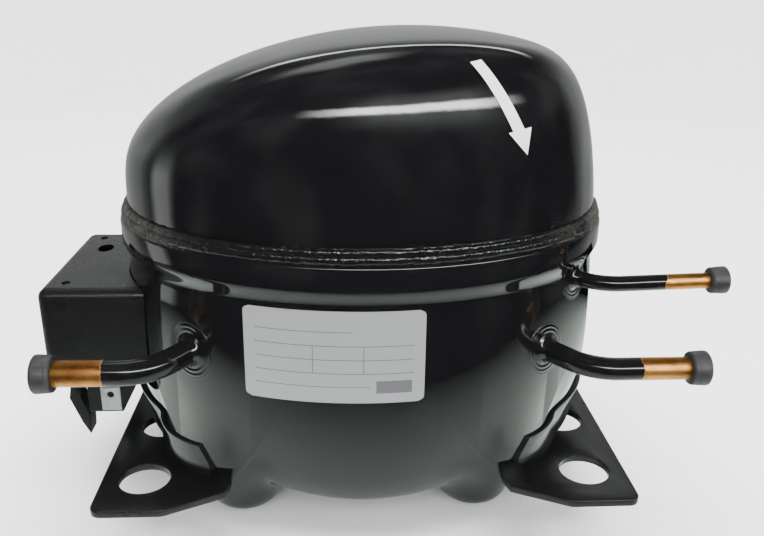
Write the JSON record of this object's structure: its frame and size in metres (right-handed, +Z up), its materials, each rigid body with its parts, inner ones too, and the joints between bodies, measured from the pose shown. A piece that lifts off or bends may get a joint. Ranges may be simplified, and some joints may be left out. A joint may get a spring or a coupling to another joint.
{
  "type": "hermetic reciprocating compressor",
  "caption": "Sealed oval refrigeration compressor with welded shell, foot plates, clip-on start-gear cover and three capped copper stubs, with a sprung motor and crank pump inside.",
  "frame": {"origin": "centre of the foot-hole pattern, on the underside of the foot plates", "axes": "+X along the shell's long side towards the suction and discharge stubs, +Y away from the rating label's side, +Z up through the dome"},
  "size_m": [0.2712, 0.186, 0.1916],
  "materials": {
    "black_paint": "gloss black baked enamel",
    "weld_paint": "black enamel over a rough weld bead",
    "silver_label": "satin silver sticker",
    "white_label": "white sticker",
    "copper": "drawn copper tube, slightly oxidised",
    "steel": "machined steel",
    "glass_seal": "dark green glass bead",
    "nickel": "nickel-plated tab",
    "zinc": "zinc-plated sheet",
    "black_plastic": "moulded black polyester",
    "white_plastic": "moulded natural polyester",
    "lamination": "punched electrical steel",
    "enamel_wire": "enamelled copper winding",
    "grey_iron": "cast iron, machined faces",
    "die_cast": "die-cast aluminium",
    "gasket_sheet": "fibre gasket",
    "wire_sleeve": "red wire sleeve",
    "plug_rubber": "moulded dark rubber"
  },
  "bodies": {
    "housing": {"lower_shell": "black_paint", "upper_shell": "black_paint", "weld_bead": "weld_paint", "foot_left": "black_paint", "foot_right": "black_paint", "rating_label": "silver_label", "arrow_label": "white_label", "suction_tube": "copper", "process_tube": "copper", "discharge_tube": "copper", "tube_collars": "black_paint", "terminal_cup": "steel", "pin_glass": "glass_seal", "terminal_pins": "nickel", "inner_connector": "white_plastic", "terminal_fence": "zinc", "earth_tab": "nickel", "earth_screw": "nickel", "ptc_starter": "black_plastic", "starter_tab": "nickel", "overload_protector": "black_plastic", "spring_pins": "steel"},
    "pump": {"stator_core": "lamination", "slot_windings": "enamel_wire", "winding_upper": "enamel_wire", "winding_lower": "enamel_wire", "stator_bolts": "steel", "spring_caps": "white_plastic", "suspension_springs": "steel", "cylinder_block": "grey_iron", "thrust_washer": "steel", "cylinder_gasket": "gasket_sheet", "valve_plate": "steel", "head_gasket": "gasket_sheet", "suction_reed": "steel", "discharge_reed": "steel", "reed_stop": "steel", "cylinder_head": "die_cast", "head_bolts": "steel", "muffler_tray": "white_plastic", "muffler_lid": "white_plastic", "muffler_snout": "white_plastic", "discharge_muffler_caps": "steel", "discharge_line": "copper", "lead_wires": "wire_sleeve"},
    "crank": {"crankshaft": "steel", "rotor_core": "lamination", "rotor_rings": "die_cast", "counterweight": "grey_iron", "oil_pickup": "steel"},
    "piston": {"piston": "steel", "wrist_pin": "steel"},
    "rod": {"connecting_rod": "die_cast", "crank_pin": "steel"},
    "cover": {"terminal_cover": "black_plastic"},
    "clip": {"cover_clip": "black_paint"},
    "process_plug_body": {"process_plug": "plug_rubber"},
    "suction_plug_body": {"suction_plug": "plug_rubber"},
    "discharge_plug_body": {"discharge_plug": "plug_rubber"}
  },
  "joints": [
    {"name": "pump_suspension", "type": "slide", "parent": "housing", "child": "pump", "axis": [0, 0, 1], "range_m": [-0.003, 0.003], "stiffness_N_per_m": 30000, "springref_m": 0.00196, "deforming": ["suspension_springs", "discharge_line", "lead_wires"]},
    {"name": "crank_spin", "type": "hinge", "parent": "pump", "child": "crank", "pos_m": [0, 0, 0.05], "axis": [0, 0, 1], "continuous": true},
    {"name": "piston_slide", "type": "slide", "parent": "pump", "child": "piston", "axis": [1, 0, 0], "range_m": [0, 0.016]},
    {"name": "rod_swing", "type": "hinge", "parent": "piston", "child": "rod", "pos_m": [0.03, 0, 0.102], "axis": [0, 0, 1], "range_deg": [-12.1, 12.1]},
    {"name": "cover_pull", "type": "slide", "parent": "housing", "child": "cover", "axis": [-1, 0, 0], "range_m": [0, 0.05]},
    {"name": "clip_swing", "type": "hinge", "parent": "cover", "child": "clip", "pos_m": [-0.122, -0.025, 0.0225], "axis": [0, 1, 0], "range_deg": [0, 60]},
    {"name": "process_plug_pull", "type": "slide", "parent": "housing", "child": "process_plug_body", "axis": [-1, 0, 0], "range_m": [0, 0.06]},
    {"name": "suction_plug_pull", "type": "slide", "parent": "housing", "child": "suction_plug_body", "axis": [1, 0, 0], "range_m": [0, 0.06]},
    {"name": "discharge_plug_pull", "type": "slide", "parent": "housing", "child": "discharge_plug_body", "axis": [0.9994, 0, 0.0335], "range_m": [0, 0.06]}
  ]
}
